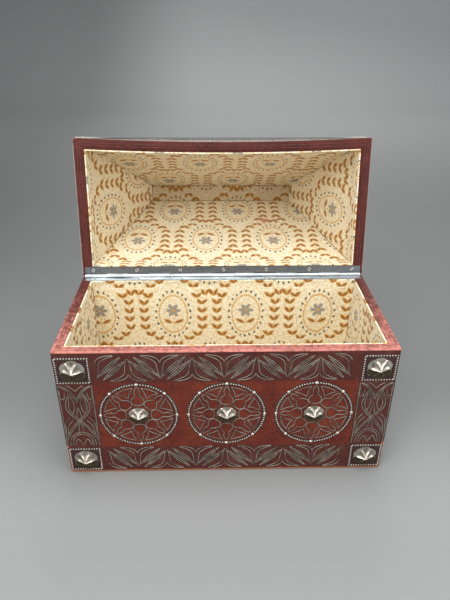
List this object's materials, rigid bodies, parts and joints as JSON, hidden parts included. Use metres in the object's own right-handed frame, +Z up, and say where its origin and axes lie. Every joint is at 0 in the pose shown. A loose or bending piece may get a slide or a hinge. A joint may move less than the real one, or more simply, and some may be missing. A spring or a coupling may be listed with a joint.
{
  "type": "leather jewellery case",
  "caption": "Gothic style casket in tooled red-brown leather with faceted metal studs, a deep hipped lid on a full-length piano hinge and a printed cotton lining, standing open.",
  "frame": {"origin": "middle of the base's underside, on the surface that it stands on", "axes": "+X to the case's right seen from the front, +Y to the hinge at the back, +Z up"},
  "size_m": [0.266, 0.2722, 0.2371],
  "materials": {
    "carcass_wood": "bare",
    "tooled_case_leather": "satin",
    "maroon_rim_leather": "satin",
    "printed_cotton_lining": "matte",
    "underside_cloth": "matte",
    "silvered_studs": "satin",
    "silvered_wire": "satin",
    "hinge_steel": "satin"
  },
  "bodies": {
    "base": {"base_back_board": "carcass_wood", "base_back_leather": "tooled_case_leather", "base_back_lining": "printed_cotton_lining", "base_bottom_board": "carcass_wood", "base_floor_lining": "printed_cotton_lining", "base_front_board": "carcass_wood", "base_front_bosses": "silvered_studs", "base_front_corner_studs": "silvered_studs", "base_front_leather": "tooled_case_leather", "base_front_lining": "printed_cotton_lining", "base_left_board": "carcass_wood", "base_left_leather": "tooled_case_leather", "base_left_lining": "printed_cotton_lining", "base_medallion_rings": "silvered_wire", "base_right_board": "carcass_wood", "base_right_leather": "tooled_case_leather", "base_right_lining": "printed_cotton_lining", "base_rim_leather": "maroon_rim_leather", "base_ring_pins": "silvered_wire", "base_side_bosses": "silvered_studs", "base_side_corner_studs": "silvered_studs", "base_underside_cover": "underside_cloth", "hinge_base_leaf": "hinge_steel", "hinge_base_screws": "hinge_steel", "hinge_pin": "hinge_steel"},
    "lid": {"hinge_lid_leaf": "hinge_steel", "hinge_lid_screws": "hinge_steel", "lid_back_leather": "tooled_case_leather", "lid_back_rail": "carcass_wood", "lid_back_slope_board": "carcass_wood", "lid_back_slope_lining": "printed_cotton_lining", "lid_back_wall_lining": "printed_cotton_lining", "lid_front_leather": "tooled_case_leather", "lid_front_rail": "carcass_wood", "lid_front_slope_board": "carcass_wood", "lid_front_slope_lining": "printed_cotton_lining", "lid_front_wall_lining": "printed_cotton_lining", "lid_left_leather": "tooled_case_leather", "lid_left_rail": "carcass_wood", "lid_left_slope_board": "carcass_wood", "lid_left_slope_lining": "printed_cotton_lining", "lid_left_wall_lining": "printed_cotton_lining", "lid_medallion_rings": "silvered_wire", "lid_right_leather": "tooled_case_leather", "lid_right_rail": "carcass_wood", "lid_right_slope_board": "carcass_wood", "lid_right_slope_lining": "printed_cotton_lining", "lid_right_wall_lining": "printed_cotton_lining", "lid_rim_leather": "maroon_rim_leather", "lid_ring_pins": "silvered_wire", "lid_slope_bosses": "silvered_studs", "lid_top_board": "carcass_wood", "lid_top_leather": "tooled_case_leather", "lid_top_lining": "printed_cotton_lining"}
  },
  "joints": [
    {"name": "lid_hinge", "type": "hinge", "parent": "base", "child": "lid", "pos_m": [0, 0.06025, 0.1192], "axis": [1, 0, 0], "range_deg": [0, 101.75]}
  ]
}
